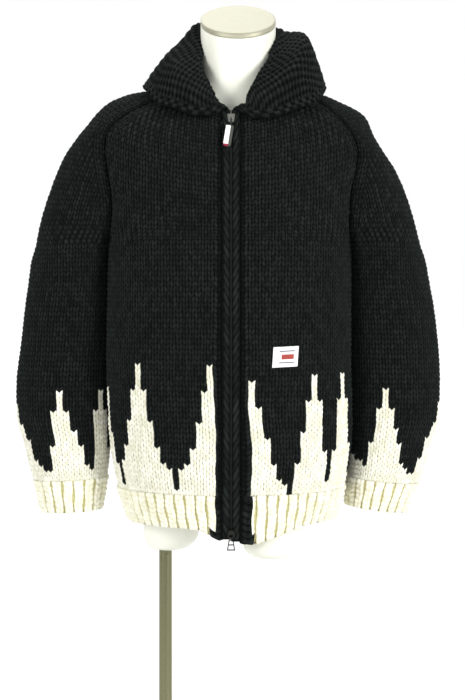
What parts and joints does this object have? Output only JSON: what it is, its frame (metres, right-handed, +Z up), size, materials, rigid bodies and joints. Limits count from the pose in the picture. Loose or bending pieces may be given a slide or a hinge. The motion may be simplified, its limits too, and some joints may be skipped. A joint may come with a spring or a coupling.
{
  "type": "cowichan cardigan on a limbless dress form with stand",
  "caption": "Chunky knit zip cardigan with raglan sleeves, folded collar, stepped flame pattern and ribbed hem and cuffs, worn by a limbless torso form on a pole stand.",
  "frame": {"origin": "centre of the underside of the round base plate, which rests on the floor below the middle of the garment", "axes": "+Z up; the zip faces -Y; +X is the wearer's left"},
  "size_m": [0.7245, 0.38, 1.5387],
  "materials": {
    "yarn_black": "chunky black wool, stockinette and moss stitch",
    "yarn_cream": "chunky undyed cream wool",
    "zip_tape": "black woven tape and teeth",
    "zip_metal": "dark nickel plating",
    "pull_tab": "dark tab with a plain light strip",
    "label_cloth": "white woven label with plain stripes",
    "form_shell": "smooth white shell, satin",
    "cap_metal": "spun metal cap",
    "stand_steel": "brushed steel tube and plate"
  },
  "bodies": {
    "garment_and_form": {"back": "yarn_black", "front_right": "yarn_black", "front_left": "yarn_black", "sleeve_right": "yarn_black", "sleeve_left": "yarn_black", "collar": "yarn_black", "band_right": "yarn_black", "band_left": "yarn_black", "hem_rib_back": "yarn_cream", "hem_rib_right": "yarn_cream", "hem_rib_left": "yarn_cream", "cuff_right": "yarn_cream", "cuff_left": "yarn_cream", "zip": "zip_tape", "slider_top": "zip_metal", "slider_bottom": "zip_metal", "label": "label_cloth", "form_torso": "form_shell", "neck_cap": "cap_metal", "pole": "stand_steel", "pole_socket": "stand_steel", "base_plate": "stand_steel"},
    "pull_top": {"pull_top": "pull_tab"},
    "pull_bottom": {"pull_bottom": "zip_metal"}
  },
  "joints": [
    {"name": "pull_top_swing", "type": "hinge", "parent": "garment_and_form", "child": "pull_top", "pos_m": [-0.0015, -0.11535, 1.31772], "axis": [-1, 0, 0], "range_deg": [0, 110]},
    {"name": "pull_bottom_swing", "type": "hinge", "parent": "garment_and_form", "child": "pull_bottom", "pos_m": [-0.0015, -0.11814, 0.64343], "axis": [-1, 0, 0], "range_deg": [0, 110]}
  ]
}
